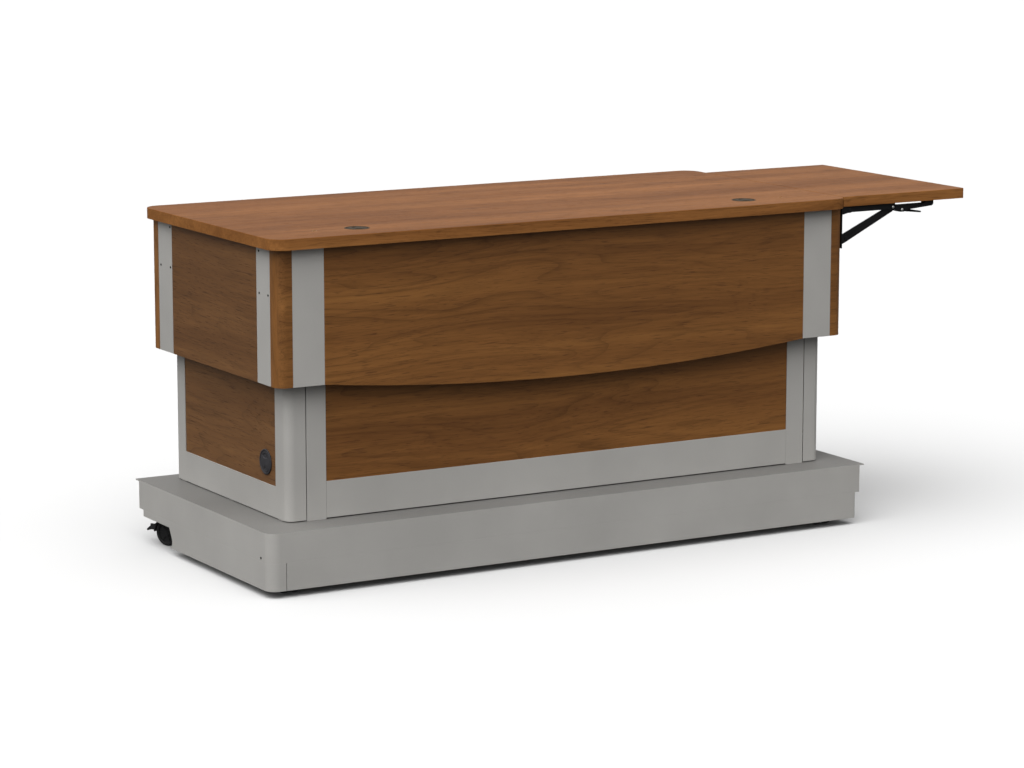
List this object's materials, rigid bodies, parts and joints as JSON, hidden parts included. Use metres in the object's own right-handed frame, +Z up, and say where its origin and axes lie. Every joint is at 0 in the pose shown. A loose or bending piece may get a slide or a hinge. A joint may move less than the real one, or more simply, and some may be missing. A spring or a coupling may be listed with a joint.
{
  "type": "height-adjustable teaching desk",
  "caption": "Castered height-adjustable teaching desk with a telescoping laminate upper box, rear cabinet doors and a fold-down side shelf on locking brackets.",
  "frame": {"origin": "centre of the bounding footprint, on the floor", "axes": "+X along the desk towards the fold-down shelf, -Y towards the audience, +Y towards the user, +Z up"},
  "size_m": [1.989, 0.75, 0.818],
  "materials": {
    "grey_paint": "satin powder coat, light warm grey",
    "walnut": "satin laminate, reddish walnut grain along the length",
    "black_steel": "satin black powder coat",
    "zinc": "zinc plated",
    "dark_plastic": "fine matt texture",
    "brown_plastic": "fine matt texture",
    "tread": "worn matt",
    "brass": "machined",
    "button": "moulded"
  },
  "bodies": {
    "plinth": {"deck_pan": "grey_paint", "base_frame": "black_steel", "left_skirt": "grey_paint", "front_skirt": "grey_paint", "right_skirt": "grey_paint", "rear_skirt": "grey_paint", "left_side_shell": "grey_paint", "right_side_shell": "grey_paint", "left_side_inset": "walnut", "right_side_inset": "walnut", "side_cable_caps": "dark_plastic", "front_stiles": "grey_paint", "front_rails": "grey_paint", "front_inset": "walnut", "rear_frame": "grey_paint", "door_hinge_pins": "zinc", "rack_rails": "zinc", "control_box": "dark_plastic", "outer_columns": "black_steel", "column_motors": "dark_plastic", "caster_plates": "zinc"},
    "upper_box": {"inner_columns": "zinc", "worktop": "walnut", "worktop_grommets": "brown_plastic", "accessory_inserts": "brass", "top_frame": "black_steel", "corner_posts": "walnut", "front_strips": "grey_paint", "side_strips": "grey_paint", "rear_strips": "grey_paint", "front_fascia": "walnut", "left_fascia": "walnut", "right_fascia": "walnut", "rear_apron": "walnut", "strip_screws": "zinc", "switch_housing": "dark_plastic", "wall_legs": "black_steel", "bracket_pins": "zinc"},
    "shelf": {"side_shelf": "walnut", "shelf_arms": "black_steel"},
    "brace_pair": {"braces": "black_steel"},
    "front_lever": {"front_release_lever": "black_steel"},
    "rear_lever": {"rear_release_lever": "black_steel"},
    "up_key": {"up_button": "button"},
    "down_key": {"down_button": "button"},
    "left_door_leaf": {"left_door": "walnut"},
    "right_door_leaf": {"right_door": "walnut"},
    "left_door_latch": {"left_latch": "zinc"},
    "right_door_latch": {"right_latch": "zinc"},
    "front_left_fork": {"front_left_caster_fork": "dark_plastic"},
    "front_left_wheels": {"front_left_caster_wheels": "tread"},
    "front_right_fork": {"front_right_caster_fork": "dark_plastic"},
    "front_right_wheels": {"front_right_caster_wheels": "tread"},
    "rear_left_fork": {"rear_left_caster_fork": "dark_plastic"},
    "rear_left_wheels": {"rear_left_caster_wheels": "tread"},
    "rear_left_pedal": {"rear_left_brake_pedal": "dark_plastic"},
    "rear_right_fork": {"rear_right_caster_fork": "dark_plastic"},
    "rear_right_wheels": {"rear_right_caster_wheels": "tread"},
    "rear_right_pedal": {"rear_right_brake_pedal": "dark_plastic"}
  },
  "joints": [
    {"name": "lift", "type": "slide", "parent": "plinth", "child": "upper_box", "axis": [0, 0, 1], "range_m": [0, 0.25]},
    {"name": "shelf_fold", "type": "hinge", "parent": "upper_box", "child": "shelf", "pos_m": [0.6415, -0.315, 0.783], "axis": [0, 1, 0], "range_deg": [0, 90]},
    {"name": "brace_swing", "type": "hinge", "parent": "upper_box", "child": "brace_pair", "pos_m": [0.6325, -0.315, 0.714], "axis": [0, 1, 0], "range_deg": [0, 113]},
    {"name": "front_lever_press", "type": "hinge", "parent": "shelf", "child": "front_lever", "pos_m": [0.8045, -0.315, 0.7745], "axis": [0, -1, 0], "range_deg": [0, 5], "stiffness_Nm_per_rad": 1.5, "springref_deg": -2.86},
    {"name": "rear_lever_press", "type": "hinge", "parent": "shelf", "child": "rear_lever", "pos_m": [0.8045, 0.265, 0.7745], "axis": [0, -1, 0], "range_deg": [0, 5], "stiffness_Nm_per_rad": 1.5, "springref_deg": -2.86},
    {"name": "up_press", "type": "slide", "parent": "upper_box", "child": "up_key", "axis": [0, -1, 0], "range_m": [0, 0.0025], "stiffness_N_per_m": 600, "springref_m": -0.001},
    {"name": "down_press", "type": "slide", "parent": "upper_box", "child": "down_key", "axis": [0, -1, 0], "range_m": [0, 0.0025], "stiffness_N_per_m": 600, "springref_m": -0.001},
    {"name": "left_door_swing", "type": "hinge", "parent": "plinth", "child": "left_door_leaf", "pos_m": [-0.8065, 0.3295, 0.232], "axis": [0, 0, 1], "range_deg": [0, 95]},
    {"name": "right_door_swing", "type": "hinge", "parent": "plinth", "child": "right_door_leaf", "pos_m": [0.4825, 0.3295, 0.232], "axis": [0, 0, -1], "range_deg": [0, 95]},
    {"name": "left_latch_turn", "type": "hinge", "parent": "left_door_leaf", "child": "left_door_latch", "pos_m": [-0.222, 0.323, 0.63], "axis": [0, 1, 0], "range_deg": [0, 90]},
    {"name": "right_latch_turn", "type": "hinge", "parent": "right_door_leaf", "child": "right_door_latch", "pos_m": [-0.102, 0.323, 0.63], "axis": [0, -1, 0], "range_deg": [0, 90]},
    {"name": "front_left_swivel", "type": "hinge", "parent": "plinth", "child": "front_left_fork", "pos_m": [-0.9225, -0.303, 0.095], "axis": [0, 0, 1], "continuous": true},
    {"name": "front_left_roll", "type": "hinge", "parent": "front_left_fork", "child": "front_left_wheels", "pos_m": [-0.9225, -0.323, 0.032], "axis": [1, 0, 0], "continuous": true},
    {"name": "front_right_swivel", "type": "hinge", "parent": "plinth", "child": "front_right_fork", "pos_m": [0.5595, -0.303, 0.095], "axis": [0, 0, 1], "continuous": true},
    {"name": "front_right_roll", "type": "hinge", "parent": "front_right_fork", "child": "front_right_wheels", "pos_m": [0.5595, -0.323, 0.032], "axis": [1, 0, 0], "continuous": true},
    {"name": "rear_left_swivel", "type": "hinge", "parent": "plinth", "child": "rear_left_fork", "pos_m": [-0.9365, 0.251, 0.095], "axis": [0, 0, 1], "continuous": true},
    {"name": "rear_left_roll", "type": "hinge", "parent": "rear_left_fork", "child": "rear_left_wheels", "pos_m": [-0.94495, 0.26913, 0.032], "axis": [0.9063, 0.4226, 0], "continuous": true},
    {"name": "rear_left_brake", "type": "hinge", "parent": "rear_left_fork", "child": "rear_left_pedal", "pos_m": [-0.96313, 0.3081, 0.044], "axis": [-0.9063, -0.4226, 0], "range_deg": [0, 14]},
    {"name": "rear_right_swivel", "type": "hinge", "parent": "plinth", "child": "rear_right_fork", "pos_m": [0.5735, 0.251, 0.095], "axis": [0, 0, 1], "continuous": true},
    {"name": "rear_right_roll", "type": "hinge", "parent": "rear_right_fork", "child": "rear_right_wheels", "pos_m": [0.5735, 0.271, 0.032], "axis": [1, 0, 0], "continuous": true},
    {"name": "rear_right_brake", "type": "hinge", "parent": "rear_right_fork", "child": "rear_right_pedal", "pos_m": [0.5735, 0.314, 0.044], "axis": [-1, 0, 0], "range_deg": [0, 14]}
  ],
  "couplings": [
    {"joint": "brace_swing", "follows": "shelf_fold", "ratio": 1.2501}
  ]
}
